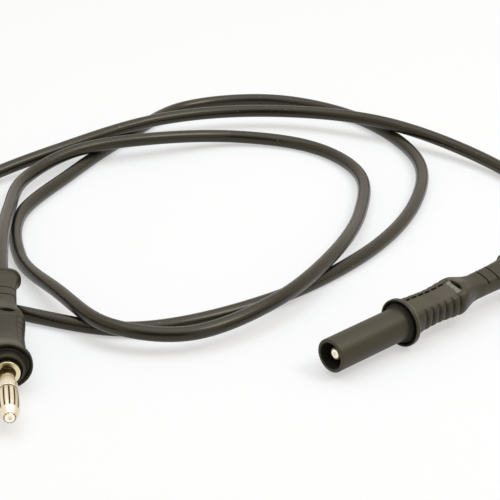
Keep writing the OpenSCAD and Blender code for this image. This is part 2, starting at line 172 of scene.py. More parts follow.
# %% [markdown]
# A curve with a bevel would draw the cable as well. A mesh tube is used instead, because each of its
# points can carry a note of where it would be on a straight piece of the same cable. Patterns that follow
# the jacket, such as the fine lines of extrusion, then read that note and run round every bend.
# The note is an attribute called own_mm, in millimetres, and every piece of this lesson has one.
# %% Cable tube
CABLE_SIDES = 28


def note_own_place(piece, places):
    """Store each point's place in the piece's own straight frame, in millimetres."""
    note = piece.data.attributes.new("own_mm", "FLOAT_VECTOR", "POINT")
    note.data.foreach_set("vector", [value for place in places for value in place])


def new_piece(name, mesh):
    """An object for a mesh that was built point by point."""
    piece = bpy.data.objects.new(name, mesh)
    scene.collection.objects.link(piece)
    return piece


points, places, along = [], [], 0.0
for i, centre in enumerate(centres):
    before, after = centres[max(i - 1, 0)], centres[min(i + 1, len(centres) - 1)]
    ahead = (after - before).normalized()
    left = Vector((0, 0, 1)).cross(ahead).normalized()
    up = ahead.cross(left)
    along += (centre - before).length / MM
    for j in range(CABLE_SIDES):
        angle = 2 * math.pi * j / CABLE_SIDES
        across = CABLE_D / 2 * (math.cos(angle) * up + math.sin(angle) * left)
        points.append(centre + across * MM)
        places.append((CABLE_D / 2 * math.cos(angle), CABLE_D / 2 * math.sin(angle), along))
faces = []
for i in range(len(centres) - 1):
    for j in range(CABLE_SIDES):
        a, b = i * CABLE_SIDES + j, i * CABLE_SIDES + (j + 1) % CABLE_SIDES
        faces.append((a, b, b + CABLE_SIDES, a + CABLE_SIDES))
faces.append(tuple(reversed(range(CABLE_SIDES))))
faces.append(tuple(range(len(points) - CABLE_SIDES, len(points))))
mesh = bpy.data.meshes.new("cable_jacket")
mesh.from_pydata(points, [], faces)
mesh.shade_smooth()
cable = new_piece("cable_jacket", mesh)
note_own_place(cable, places)
print("cable faces:", len(mesh.polygons))

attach(cable, "root")
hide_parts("cable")

# %% [markdown]
# Every colour in this lesson is written as it looks on a screen, in sRGB hex, and one function turns it to
# the linear values that the renderer works with. Materials are small trees of nodes. They could be clicked
# together, but a line of code per node is easier to compare, so two helpers do all of the wiring: one adds
# a node and links it, and one lays a colour over another through masks, like paint through a stencil.
# %% Colours and nodes
WHITE = "#fdfdfd"
# Sockets of the colour mix node, by number
MIX_FACTOR, MIX_A, MIX_B, MIX_RESULT = 0, 6, 7, 2


def linear(hex_colour):
    """An sRGB hex value as a linear colour."""
    values = [int(hex_colour[i : i + 2], 16) / 255 for i in (1, 3, 5)]
    return (*(v / 12.92 if v <= 0.04045 else ((v + 0.055) / 1.055) ** 2.4 for v in values), 1)


def add_node(tree, kind, settings=None, inputs=None):
    """Add a shader node. An input is given a value, or a socket to link from."""
    node = tree.nodes.new(kind)
    for key, value in (settings or {}).items():
        setattr(node, key, value)
    for key, value in (inputs or {}).items():
        if isinstance(value, bpy.types.NodeSocket):
            tree.links.new(value, node.inputs[key])
        else:
            node.inputs[key].default_value = value
    return node


def overlay(tree, under, colour, *masks):
    """Lay a colour over another where all the masks are 1. Returns the outcome and the joint mask."""
    joint, *others = masks
    for other in others:
        joint = add_node(tree, "ShaderNodeMath", {"operation": "MULTIPLY"}, {0: joint, 1: other}).outputs[0]
    inputs = {MIX_FACTOR: joint, MIX_A: under, MIX_B: linear(colour)}
    return add_node(tree, "ShaderNodeMix", {"data_type": "RGBA"}, inputs).outputs[MIX_RESULT], joint


def new_material(name, settings):
    """A material, its node tree and its shader, with some of the shader's values set."""
    material = bpy.data.materials.new(name)
    material.use_nodes = True
    shader = material.node_tree.nodes["Principled BSDF"]
    for key, value in settings.items():
        shader.inputs[key].default_value = value
    return material, material.node_tree, shader


print("white is", [round(value, 3) for value in linear(WHITE)])

# %% [markdown]
# The stage is a white table in a white tent, with a large soft box above and a small one to the right. The
# tent gives most of the light, so the shadows are faint and lie close to the lead, as under a thick cloud.
# What the tent shows to the lens and to shiny surfaces is near white, and what it gives as light is half of
# that, so that with the soft boxes a colour renders as it is written. The tent's light is warm and the box
# above is cool. Together they are white, and where the lead keeps the box's light off the table its shadow
# is a little warm, as it is in a room with cream walls.
# %% White tent
TENT_LIGHT = 0.5
# Colour of the light that the tent gives, and of its wall as the lens sees it
TENT_SHADE, TENT_WALL = "#fff2de", "#fff8ec"


def seen_ray(tree):
    """A socket that is 1 for what the lens sees, by itself or in a shiny or clear surface."""
    rays = add_node(tree, "ShaderNodeLightPath").outputs
    seen = rays["Is Camera Ray"]
    for other in ("Is Glossy Ray", "Is Transmission Ray"):
        inputs = {0: seen, 1: rays[other]}
        seen = add_node(tree, "ShaderNodeMath", {"operation": "MAXIMUM"}, inputs).outputs[0]
    return seen


scene.view_settings.view_transform = "Standard"
world = bpy.data.worlds.new("white_tent")
scene.world = world
world.use_nodes = True
tree = world.node_tree
tree.nodes.clear()
seen = seen_ray(tree)
strength = add_node(tree, "ShaderNodeMapRange", {}, {"Value": seen, "To Min": TENT_LIGHT, "To Max": 1})
colour, _ = overlay(tree, linear(TENT_SHADE), TENT_WALL, seen)
tent = add_node(
    tree, "ShaderNodeBackground", {}, {"Color": colour, "Strength": strength.outputs["Result"]}
)
add_node(tree, "ShaderNodeOutputWorld", {}, {"Surface": tent.outputs[0]})
print("the tent gives", TENT_LIGHT, "of full light")

# %% [markdown]
# The table's own white and its shadows are real. A share of plain white is mixed in for what the lens and
# shiny surfaces see of it, because a studio picture is exposed until its background is almost white.
# %% Table
TABLE_SIZE = 6
TABLE_GLOW = 0.5

bpy.ops.mesh.primitive_plane_add(size=TABLE_SIZE)
table = bpy.context.object
table.name = "white_table"
paper, tree, shader = new_material(
    "matt_white_card", {"Base Color": linear(WHITE), "Roughness": 0.9, "Specular IOR Level": 0.1}
)
share = add_node(
    tree, "ShaderNodeMath", {"operation": "MULTIPLY"}, {0: seen_ray(tree), 1: TABLE_GLOW}
)
glow = add_node(tree, "ShaderNodeEmission", {}, {"Color": linear(WHITE), "Strength": 1})
mixed = add_node(
    tree, "ShaderNodeMixShader", {}, {0: share.outputs[0], 1: shader.outputs[0], 2: glow.outputs[0]}
)
tree.links.new(mixed.outputs[0], tree.nodes["Material Output"].inputs["Surface"])
table.data.materials.append(paper)
print("table:", TABLE_SIZE, "m wide")

# %% [markdown]
# Two soft boxes. The large one hangs right above, so that the shadows stay under the lead and are short,
# and its light is cool, against the tent's warm one. The small, bright one to the right is white and draws
# the long highlights on the cable.
# %% Soft boxes
# Name, place, width, height, watts, colour
SOFT_BOXES = [
    ("overhead_soft_box", (0, 0.06, 0.8), 0.95, 0.95, 4.1, "#dceeff"),
    ("right_soft_box", (0.87, -0.15, 1.21), 0.6, 0.5, 5.8, "#ffffff"),
]

for name, place, width, height, watts, colour in SOFT_BOXES:
    bpy.ops.object.light_add(type="AREA", location=place)
    lamp = bpy.context.object
    lamp.name = name
    lamp.data.shape = "RECTANGLE"
    lamp.data.size = width
    lamp.data.size_y = height
    lamp.data.energy = watts
    lamp.data.color = linear(colour)[:3]
    lamp.rotation_euler = Vector(place).to_track_quat("Z", "Y").to_euler()
print("soft boxes:", len(SOFT_BOXES))

# %% [markdown]
# A black object in an all-white tent looks grey, because it mirrors white from every side. Photographers
# stand a dark card by the camera, out of the picture, so that the sides that face the lens stay dark. Only
# reflections see this one, so it takes no light and gives no shadow.
# %% Dark card
CARD_W, CARD_H, CARD_BACK = 2.0, 0.48, 0.85

bpy.ops.mesh.primitive_plane_add(
    size=1, location=(0, -CARD_BACK, CARD_H / 2), rotation=(math.radians(90), 0, 0),
    scale=(CARD_W, CARD_H, 1),
)
card = bpy.context.object
card.name = "dark_card"
card.visible_camera = False
card.visible_diffuse = False
card.visible_transmission = False
card.visible_shadow = False
black_card, tree, shader = new_material("black_card", {"Base Color": linear("#22201e"), "Roughness": 0.9})
card.data.materials.append(black_card)
print("dark card:", CARD_W, "by", CARD_H, "m")

# %% [markdown]
# Round parts are outlines spun about the plug's axis. A real moulding or turning has no sharp corner, so
# each outline lists its corners with a rounding, and a small function turns a corner into a short arc. The
# arcs could come from a Bevel modifier, but here each corner gets its own radius, as on a drawing.
# %% Rounded outlines
ARC_STEPS = 4
# An arc takes up to this share of the line on each side of its corner
ARC_SHARE = 0.48


def rounded(corners, closed):
    """Corners are (distance, radius from the axis, rounding). Returns (distance, radius) points."""
    outline = []
    for i, (s, r, rounding) in enumerate(corners):
        corner = Vector((s, r))
        if not rounding or (not closed and i in (0, len(corners) - 1)):
            outline.append(tuple(corner))
            continue
        back = Vector(corners[i - 1][:2]) - corner
        ahead = Vector(corners[(i + 1) % len(corners)][:2]) - corner
        half_angle = back.angle(ahead) / 2
        reach = min(rounding / math.tan(half_angle), ARC_SHARE * back.length, ARC_SHARE * ahead.length)
        start, end = corner + back.normalized() * reach, corner + ahead.normalized() * reach
        for step in range(ARC_STEPS + 1):
            t = step / ARC_STEPS
            outline.append(tuple(start * (1 - t) ** 2 + corner * 2 * t * (1 - t) + end * t**2))
    return outline


print("a square corner becomes", rounded([(0, 0, 0), (1, 0, 0.2), (1, 1, 0)], False))

# %% Spin an outline
TURN_STEPS = 96
SHARP_ANGLE = math.radians(32)


def pick(piece):
    """Make a piece the only one selected, and the active one."""
    bpy.ops.object.select_all(action="DESELECT")
    bpy.context.view_layer.objects.active = piece
    piece.select_set(True)


def turned(name, outline, closed):
    """Spin an outline about the X axis into a closed skin."""
    mesh = bpy.data.meshes.new(name)
    links = [(i, i + 1) for i in range(len(outline) - 1)]
    if closed:
        links.append((len(outline) - 1, 0))
    mesh.from_pydata([(s * MM, 0, r * MM) for s, r in outline], links, [])
    piece = new_piece(name, mesh)
    pick(piece)
    bpy.ops.object.mode_set(mode="EDIT")
    bpy.ops.mesh.select_all(action="SELECT")
    bpy.ops.mesh.spin(steps=TURN_STEPS, angle=2 * math.pi, center=(0, 0, 0), axis=(1, 0, 0))
    bpy.ops.mesh.select_all(action="SELECT")
    bpy.ops.mesh.remove_doubles(threshold=1e-7)
    bpy.ops.mesh.normals_make_consistent(inside=False)
    bpy.ops.object.mode_set(mode="OBJECT")
    return piece


def lay_down(piece, plug):
    """Note each point's own place, smooth the faces and lay the piece with its plug."""
    note_own_place(piece, [v.co / MM for v in piece.data.vertices])
    pick(piece)
    bpy.ops.object.shade_smooth_by_angle(angle=SHARP_ANGLE)
    piece.matrix_world = plug
    bpy.ops.object.transform_apply(location=True, rotation=True, scale=True)
    piece.select_set(False)
    return piece


print("spun in", TURN_STEPS, "steps")

# %% [markdown]
# Behind the flange both plugs hold the same hub, a hard core with a groove round it that the soft grip is
# moulded onto and can't slide off. In front of the flange they differ. The bare plug ends in a short boss
# with a dish round the pin, and the safety plug in a long sleeve that keeps fingers off the metal.
# %% Hub corners
SEAT_GAP = 0.02
RECESS_L = 0.75
HUB_R, HUB_L = 2.5, 6.5
ANCHOR_FROM, ANCHOR_TO, ANCHOR_SLOPE, ANCHOR_DEPTH = 2.6, 3.6, 0.2, 0.35
SHANK_R, KNURL_R, BARREL_R, BARREL_L = 1.5, 1.95, 1.75, 11.0
PRESSED_FROM, PRESSED_TO = 1, 4
COLLAR_AT, COLLAR_T, COLLAR_R = 2.05, 0.95, 2.86
PAD_R, PAD_FOOT_R = 2.3, 2.5
RING_R, RING_FRONT = 4.6, 0.3
DISH_AT = 1.2


def hub(gap):
    """The hub from the flange's recess to its end, with its groove, grown by a gap."""
    hub_r, groove_r = HUB_R + gap, HUB_R - ANCHOR_DEPTH + gap
    return [
        (RECESS_L, hub_r, 0), (ANCHOR_FROM, hub_r, 0), (ANCHOR_FROM + ANCHOR_SLOPE, groove_r, 0),
        (ANCHOR_TO - ANCHOR_SLOPE, groove_r, 0), (ANCHOR_TO, hub_r, 0), (HUB_L + gap, hub_r, 0),
    ]


# Corners of each stretch: distance, radius, rounding
PIN_HOLE = [
    (HUB_L, BARREL_R + SEAT_GAP, 0), (PRESSED_TO + SEAT_GAP, BARREL_R + SEAT_GAP, 0),
    (PRESSED_TO + SEAT_GAP, KNURL_R + SEAT_GAP, 0), (PRESSED_FROM - SEAT_GAP, KNURL_R + SEAT_GAP, 0),
    (PRESSED_FROM - SEAT_GAP, SHANK_R + SEAT_GAP, 0),
]
PAD = [
    (-COLLAR_AT, SHANK_R + SEAT_GAP, 0.03), (-COLLAR_AT, PAD_R, 0.1), (-DISH_AT, PAD_FOOT_R, 0.15),
]
RING = [(-RING_FRONT, RING_R, 0.12), (RECESS_L, RING_R, 0.05)]
print("hub:", HUB_L, "mm long")

# %% Boss and sleeve
BOSS_R, BOSS_L, BOSS_WALL = 3.9, 1.8, 0.5
# The boss is a little wider at its foot, outside and in its wall, as a moulding that leaves its tool
BOSS_DRAFT, WALL_DRAFT = 0.02, 0.1
SLEEVE_R, BORE_R, SLEEVE_L = 3.95, 3.13, 21.85
FLARE_L, FLARE = 0.5, 0.3

boss = [
    (-DISH_AT, BOSS_R - BOSS_WALL - WALL_DRAFT, 0.15), (-BOSS_L, BOSS_R - BOSS_WALL, 0.08),
    (-BOSS_L, BOSS_R, 0.14), (-RING_FRONT, BOSS_R + BOSS_DRAFT, 0.25),
]
sleeve = [
    (-DISH_AT, BORE_R, 0.2), (-SLEEVE_L, BORE_R, 0.16), (-SLEEVE_L, SLEEVE_R, 0.2),
    (-RING_FRONT - FLARE_L, SLEEVE_R, 0.5), (-RING_FRONT, SLEEVE_R + FLARE, 0.3),
]
mouldings = []
for name, front, plug in (("left_insert", boss, LEFT), ("right_sleeve", sleeve, RIGHT)):
    outline = rounded(PAD + front + RING + hub(0) + PIN_HOLE, True)
    mouldings.append(lay_down(turned(name + "_moulding", outline, True), plug))
left_insert, right_sleeve = mouldings
print("sleeve faces:", len(right_sleeve.data.polygons))

# %% [markdown]
# The pin is turned from brass bar and plated: a tip with a centre mark, a thin core inside the spring, a
# shank, the collar that stops against the boss, and behind it the part that is pressed into the hub.
# %% Pins
PIN_L = 20.5
CAGE_AT, HEAD_AT = 6.3, 18.4
CORE_R = 1.3
TIP_R, HEAD_R, HEAD_SLOPE = 1.06, 1.83, 0.3
MARK_R, MARK_DEPTH, MARK_RIM = 0.4, 0.3, 0.1
CORE_ENDS_AT = 8.2
# The shank widens a little into the collar
FOOT_L, FOOT = 0.25, 0.3
CUP_R, CUP_AT = 0.82, 6.5

front_face = -COLLAR_AT - COLLAR_T
pin_corners = [
    (-PIN_L + MARK_DEPTH, 0, 0), (-PIN_L + MARK_RIM, MARK_R, 0.05), (-PIN_L, MARK_R + MARK_RIM / 2, 0.03),
    (-PIN_L, TIP_R, 0.1), (-HEAD_AT, HEAD_R, 0.1), (-HEAD_AT + HEAD_SLOPE, CORE_R, 0.1),
    (-CORE_ENDS_AT, CORE_R, 0.1), (-CORE_ENDS_AT + 0.15, SHANK_R, 0.05),
    (front_face - FOOT_L, SHANK_R, 0.2), (front_face, SHANK_R + FOOT, 0.1),
    (front_face, COLLAR_R, 0.16), (-COLLAR_AT, COLLAR_R, 0.12), (-COLLAR_AT, SHANK_R, 0),
    (PRESSED_FROM, SHANK_R, 0), (PRESSED_FROM, KNURL_R, 0.08), (PRESSED_TO, KNURL_R, 0.08),
    (PRESSED_TO, BARREL_R, 0), (BARREL_L, BARREL_R, 0.08), (BARREL_L, CUP_R, 0.05), (CUP_AT, CUP_R, 0),
    (CUP_AT, 0, 0),
]
pins = {}
for side, plug in (("left", LEFT), ("right", RIGHT)):
    pins[side] = lay_down(turned(side + "_pin_turned", rounded(pin_corners, False), False), plug)
print("pin faces:", len(pins["left"].data.polygons))

# %% [markdown]
# The spring cage is one piece of thin sheet. It is spun here as a bare skin with a column of narrow faces
# for each slit, the slit faces are deleted, and a Solidify modifier gives the sheet its thickness. Cutting
# slots in a thick tube would work too, but this way the slits can narrow towards their ends.
# %% Cage skin
SHEET_T = 0.2
LAMELLAE = 12
SLIT_COLUMNS = 2
FIRST_SLIT = 2
BAND_AT, BAND_R, BAND_STEP = 8.0, 2.15, 0.1
CREASE_FROM, CREASE_TO, CREASE_R = 10.45, 10.65, 1.99
SLIT_FROM, SLIT_TO = 10.75, 18.0
SPRING_R, NOSE_R = 2.275, 1.3

cage_r = SHANK_R + SEAT_GAP + SHEET_T
# Distance, radius, rounding
cage_corners = [
    (-CAGE_AT, cage_r, 0), (-BAND_AT + BAND_STEP, cage_r, 0.1), (-BAND_AT - 0.12, BAND_R, 0.12),
    (-10.3, BAND_R, 0.1), (-CREASE_FROM, CREASE_R, 0.06), (-CREASE_TO, CREASE_R, 0.06),
    (-SLIT_FROM, 2.13, 0.03), (-11.9, 2.235, 0.5), (-13.2, SPRING_R, 0.8), (-15.4, SPRING_R, 0.8),
    (-16.8, 2.2, 0.5), (-SLIT_TO, 2.05, 0.1), (-HEAD_AT, 2.04, 0.15), (-PIN_L + 0.1, NOSE_R, 0),
]


def column_of(face):
    """Which column of the spun skin a face is in, counted from the top."""
    centre = face.calc_center_median()
    turn = math.atan2(centre.y, centre.z) % (2 * math.pi)
    return int(turn / (2 * math.pi) * TURN_STEPS)


def is_slit(face):
    """True for a face in one of the slits, which lie every 30 degrees."""
    per_lamella = TURN_STEPS // LAMELLAE
    near = (column_of(face) - FIRST_SLIT + SLIT_COLUMNS // 2) % per_lamella < SLIT_COLUMNS
    return near and -SLIT_TO * MM < face.calc_center_median().x < -SLIT_FROM * MM


print("one slit in", TURN_STEPS // LAMELLAE, "columns")

# %% Closer stations
STATION_EVERY = 0.35


def divided(outline, spacing):
    """The outline with extra points, so that no step is longer than the spacing."""
    points = [outline[0]]
    for (s0, r0), (s1, r1) in zip(outline, outline[1:]):
        steps = max(1, math.ceil(math.hypot(s1 - s0, r1 - r0) / spacing))
        points += [(s0 + (s1 - s0) * k / steps, r0 + (r1 - r0) * k / steps) for k in range(1, steps + 1)]
    return points


cage_outline = divided(rounded(cage_corners, False), STATION_EVERY)
print("points on the cage's outline:", len(cage_outline))

# %% Cut the slits and thicken the sheet
# The notches in the nose: how far back they reach, their depth, and half their width against a lamella's
NOTCH_REACH, NOTCH_DEPTH, NOTCH_W = 0.2, 0.3, 0.2
# The sheet's stamped edges are rounded where faces meet at more than this angle
EDGE_ROUND, EDGE_ANGLE = 0.035, math.radians(50)


def spring_cage(name):
    """The slit sheet, from a spun skin."""
    piece = turned(name, cage_outline, False)
    bm = bmesh.new()
    bm.from_mesh(piece.data)
    bmesh.ops.delete(bm, geom=[face for face in bm.faces if is_slit(face)], context="FACES")
    # The nose has a short notch in line with each slit
    for vertex in bm.verts:
        s, turn = vertex.co.x / MM, math.atan2(vertex.co.y, vertex.co.z)
        off = abs((turn * LAMELLAE / (2 * math.pi) - FIRST_SLIT / (TURN_STEPS // LAMELLAE) + 0.5) % 1 - 0.5)
        if s < -PIN_L + NOTCH_REACH:
            vertex.co.x += NOTCH_DEPTH * MM * max(0, 1 - off / NOTCH_W)
    bm.to_mesh(piece.data)
    bm.free()
    pick(piece)
    sheet = piece.modifiers.new("sheet", "SOLIDIFY")
    sheet.thickness = SHEET_T * MM
    sheet.offset = -1
    edges = piece.modifiers.new("edges", "BEVEL")
    edges.width = EDGE_ROUND * MM
    edges.segments = 2
    edges.limit_method = "ANGLE"
    edges.angle_limit = EDGE_ANGLE
    for modifier in ("sheet", "edges"):
        bpy.ops.object.modifier_apply(modifier=modifier)
    return piece


cages = {}
for side, plug in (("left", LEFT), ("right", RIGHT)):
    cages[side] = lay_down(spring_cage(side + "_cage_spring"), plug)
print("cage faces:", len(cages["left"].data.polygons))

# %% [markdown]
# The grip is the piece that the hand knows. It is soft rubber moulded round the hub and the cable: a
# finger flange with a recess, a waist, a flat panel on top with grooves down each side, a slot, a dome, a
# slim neck and a flared boot. It has a hole right through it, so its skin is a torus in layout. The sizes
# along it are a short table, and everything between the rows is a smooth curve.
# %% Form of the grip
FLANGE_T = 1.1
SLOT_AT, SLOT_L, SLOT_W, SLOT_DEPTH = 18.0, 3.7, 1.1, 0.9
PANEL_TOP, PANEL_SUNK = 3.95, 0.18
# The panel sinks over the first stretch and rises again over the second
PANEL_START, PANEL_STOP = (2.4, 3.2), (SLOT_AT - 1.5, SLOT_AT - 1.2)
LIP_AT = 38.5
FILLET_L = 0.35
# Distance, half width, height above the axis, depth below it, half panel
GRIP_FORM = [
    (0.55, 4.8, 4.2, 3.4, 2.25), (5.52, 4.33, 3.96, 3.1, 2.25), (10.5, 4.25, 3.6, 2.9, 2.25),
    (13.98, 4.48, 3.7, 3.26, 2.25), (17.45, 4.7, PANEL_TOP, 3.45, 2.25), (18.7, 4.41, 4.15, 3.34, 2.15),
    (20.52, 3.79, 3.78, 2.97, 1.83), (22.2, 3.31, 3.38, 2.65, 1.52), (23.81, 3.1, 3.08, 2.42, 1.3),
    (25, 3.1, 2.9, 2.3, 1.2), (28.95, 3.16, 2.9, 2.3, 1.2), (32.89, 3.29, 2.9, 2.34, 1.23),
    (35.78, 3.53, 2.93, 2.55, 1.32), (LIP_AT - FILLET_L, 4.05, 3.05, 3.0, 1.5),
]
BOOT_LIP = (4.6, 3.3, 3.3, 1.5)


def smooth_row(s):
    """The form's four sizes at a distance, on smooth curves through the table."""
    i = max(k for k in range(len(GRIP_FORM) - 1) if k == 0 or s >= GRIP_FORM[k][0])
    rows = [GRIP_FORM[min(max(k, 0), len(GRIP_FORM) - 1)] for k in (i - 1, i, i + 1, i + 2)]
    gap = rows[2][0] - rows[1][0]
    t = (s - rows[1][0]) / gap
    sizes = []
    for k in range(1, 5):
        slope_a = (rows[2][k] - rows[0][k]) / (rows[2][0] - rows[0][0])
        slope_b = (rows[3][k] - rows[1][k]) / (rows[3][0] - rows[1][0])
        sizes.append(
            rows[1][k] * (2 * t**3 - 3 * t**2 + 1) + rows[2][k] * (3 * t**2 - 2 * t**3)
            + gap * slope_a * (t**3 - 2 * t**2 + t) + gap * slope_b * (t**3 - t**2)
        )
    return tuple(sizes)


print("waist half width", round(smooth_row(10.5)[0], 2), "shoulder", round(smooth_row(17.45)[0], 2))

# %% [markdown]
# Each cross-section starts flat on the panel, which is sunk a little below its edges, and rolls over into
# full sides and a slimmer underside. The side grooves, the neck grooves and the slot are pressed into that
# skin: a cut depth that depends on the distance and on how far round the section a point is. A cutting tool
# would leave sharp rims, and moulded rubber has soft ones.
# %% Half a cross-section
PANEL_STEPS, SIDE_STEPS, UNDER_STEPS = 16, 28, 24
PANEL_CROWN = 0.08
# The panel's wall starts at this share of its half width
PANEL_WALL = 0.93
# Below 1 the side is fuller than an ellipse
SIDE_POWER = 0.92


def ease(low, high, value):
    """0 below low, 1 above high, and a smooth step between."""
    t = min(max((value - low) / (high - low), 0), 1)
    return t * t * (3 - 2 * t)


def half_section(width, top, under, panel, sunk):
    """Points from the top middle round to the bottom middle, each with its side and under angle."""
    points = []
    for k in range(PANEL_STEPS + 1):
        # Points lie closer together near the panel's edge
        f = math.sin(math.pi / 2 * k / PANEL_STEPS)
        drop = PANEL_CROWN * f * f + sunk * (1 - ease(PANEL_WALL, 1, f))
        points.append((panel * f, top - drop, 0, 0))
    for k in range(1, SIDE_STEPS + 1):
        angle = 90 * k / SIDE_STEPS
        a = math.radians(angle)
        y = panel + (width - panel) * math.sin(a) ** SIDE_POWER
        points.append((y, (top - PANEL_CROWN) * max(math.cos(a), 0) ** SIDE_POWER, angle, 0))
    for k in range(1, UNDER_STEPS + 1):
        angle = 90 * k / UNDER_STEPS
        b = math.radians(angle)
        points.append((width * max(math.cos(b), 0), -under * math.sin(b), 90, angle))
    return points


print("points in half a section:", len(half_section(*smooth_row(SLOT_AT), 0)))

# %% Grooves
RIB_FIRST, RIB_PITCH, RIB_COUNT, RIB_W, RIB_DEPTH = 4.8, 2.25, 6, 2.1, 0.52
NECK_GROOVES, NECK_GROOVE_W, NECK_GROOVE_DEPTH = (27.5, 30.8), 0.5, 0.2
# Angles in degrees round the section over which the grooves start below the panel and fade out
RIB_STARTS, RIB_FADES, NECK_FADES = (20, 56), (22, 72), (30, 62)


def groove(gap, width):
    """Depth of a rounded groove, from 1 in its middle to 0 at its rims."""
    return (0.5 + 0.5 * math.cos(2 * math.pi * gap / width)) if abs(gap) < width / 2 else 0


def crease(gap, width):
    """Depth of a groove between two full ribs: narrow at its bottom, with long soft sides."""
    return max(0, 1 - abs(gap) / (width / 2)) ** 2


def rib_crease(s):
    """How far into a side groove a distance is, from 0 on a rib to 1 in the middle of a groove."""
    nearest = min(max(round((s - RIB_FIRST) / RIB_PITCH), 0), RIB_COUNT - 1)
    return crease(s - RIB_FIRST - RIB_PITCH * nearest, RIB_W)


def cut_depth(s, side_angle, under_angle):
    """How far the side and neck grooves go in at a point."""
    ribs = RIB_DEPTH * rib_crease(s) * ease(*RIB_STARTS, side_angle) * (1 - ease(*RIB_FADES, under_angle))
    neck = NECK_GROOVE_DEPTH * max(groove(s - g, NECK_GROOVE_W) for g in NECK_GROOVES)
    neck *= 1 - ease(*NECK_FADES, side_angle)
    return ribs + neck


print("deepest side groove:", round(cut_depth(RIB_FIRST, 90, 0), 2), "mm")

# %% Slot and panel
# The slot's wall slopes over this much inside its outline and this much outside
SLOT_WALL, SLOT_LIP = 0.14, 0.05


def slot_drop(s, y, z):
    """The height of a point once the slot, a lens seen from above, is pressed in."""
    lens_r = (SLOT_L**2 / SLOT_W + SLOT_W) / 4
    if abs(y) >= SLOT_L / 2:
        return z
    half_width = math.sqrt(lens_r**2 - y**2) - (lens_r - SLOT_W / 2)
    floor = PANEL_TOP - SLOT_DEPTH
    return z - (z - floor) * ease(-SLOT_LIP, SLOT_WALL, half_width - abs(s - SLOT_AT))


def sunk_at(s):
    """How far the panel lies below its edges: it starts behind the flange and ends before the slot."""
    return PANEL_SUNK * ease(*PANEL_START, s) * (1 - ease(*PANEL_STOP, s))


print("the slot's floor is at", round(slot_drop(SLOT_AT, 0, PANEL_TOP), 2), "mm")

# %% Whole rings
def mirrored(half):
    """A whole ring from its right half."""
    return half + [(-y, z) for y, z in reversed(half[1:-1])]


def body_ring(s, sizes=None, grow=0.0, cuts=True):
    """One ring of the grip's skin, in millimetres, at a distance along the plug."""
    half = []
    for y, z, side_angle, under_angle in half_section(*(sizes or smooth_row(s)), cuts * sunk_at(s)):
        cut = cut_depth(s, side_angle, under_angle) if cuts else 0
        keep = 1 + (grow - cut) / math.hypot(y, z)
        y, z = y * keep, z * keep
        if cuts and z > 0 and abs(s - SLOT_AT) < SLOT_W:
            z = slot_drop(s, y, z)
        half.append((y, z))
    return [(s, y, z) for y, z in mirrored(half)]


RING_TURNS = [math.atan2(y, z) for _, y, z in body_ring(LIP_AT, BOOT_LIP, 0, False)]


def round_ring(s, radius):
    """A plain circle with the same number of points."""
    return [(s, radius * math.sin(turn), radius * math.cos(turn)) for turn in RING_TURNS]


def blend_rings(a, b, share):
    """A ring part of the way from one to another."""
    return [tuple(p + (q - p) * share for p, q in zip(u, v)) for u, v in zip(a, b)]


print("points in a ring:", len(RING_TURNS))

# %% [markdown]
# The rings are listed in order along the skin: out over the flange, along the body with close stations
# where the grooves and the slot are, round the boot's lip, and back down the cable's hole to the hub.
# A torus primitive with that many segments already has every face, so its points are only moved.
# %% Stations along the grip
def stations(start, end, spacing):
    """Evenly spaced distances from start up to, but not including, end."""
    count = max(1, round((end - start) / spacing))
    return [start + (end - start) * k / count for k in range(count)]


REAR_FILLET = 0.3
# The close stations reach this far on each side of the slot's middle and of a neck groove's
slot_reach, neck_reach = SLOT_W / 2 + 0.15, 0.3
# Where each stretch starts, and how far apart its stations are
STRETCHES = [
    (FLANGE_T + REAR_FILLET, 0.33), (3.7, 0.17), (SLOT_AT - slot_reach, 0.05), (SLOT_AT + slot_reach, 0.2),
    (20.6, 0.35), (NECK_GROOVES[0] - neck_reach, 0.075), (NECK_GROOVES[0] + neck_reach, 0.45),
    (NECK_GROOVES[1] - neck_reach, 0.075), (NECK_GROOVES[1] + neck_reach, 0.36),
    (LIP_AT - FILLET_L, 0),
]
body_stations = []
for (start, spacing), (end, _) in zip(STRETCHES, STRETCHES[1:]):
    body_stations += stations(start, end, spacing)
print("stations on the body:", len(body_stations))

# %% Rings in order
RECESS_R = 4.95
DISH_RIM, DISH_DEPTH = 0.3, 0.3
FILLET_STEPS = 4
flange_r = FLANGE_D / 2

# Corners of the flange: distance, radius, rounding
front = rounded(
    [(RECESS_L, RECESS_R, 0.05), (DISH_DEPTH, RECESS_R, 0.1), (0, flange_r - DISH_RIM, 0.08),
     (0, flange_r, 0.14), (FLANGE_T, flange_r, 0.17), (FLANGE_T, flange_r - DISH_RIM, 0)],
    False,
)
rings = [round_ring(s, r) for s, r in front]
body_start = body_ring(FLANGE_T, None, REAR_FILLET, False)
rings += [blend_rings(rings[-1], body_start, share) for share in (0.5, 1)]
for step in range(1, FILLET_STEPS):
    turn = math.radians(90 * step / FILLET_STEPS)
    at = FLANGE_T + REAR_FILLET * (1 - math.cos(turn))
    rings.append(body_ring(at, None, REAR_FILLET * (1 - math.sin(turn)), False))
rings += [body_ring(s) for s in body_stations]
print("rings to the boot:", len(rings))

# %% Rings of the boot and the hole
CABLE_HOLE = CABLE_D / 2 + SEAT_GAP
LIP_STEPS = 5
# The body's curve ends this far under the lip
LIP_STEP = 0.12
# Distance and growth of the rings round the lip's two edges
LIP_EDGES = [
    (LIP_AT + 0.04, -0.05), (LIP_AT + 0.15, 0), (GRIP_L - 0.15, 0), (GRIP_L - 0.04, -0.05), (GRIP_L, -0.13),
]
HOLE_RIM = 0.2

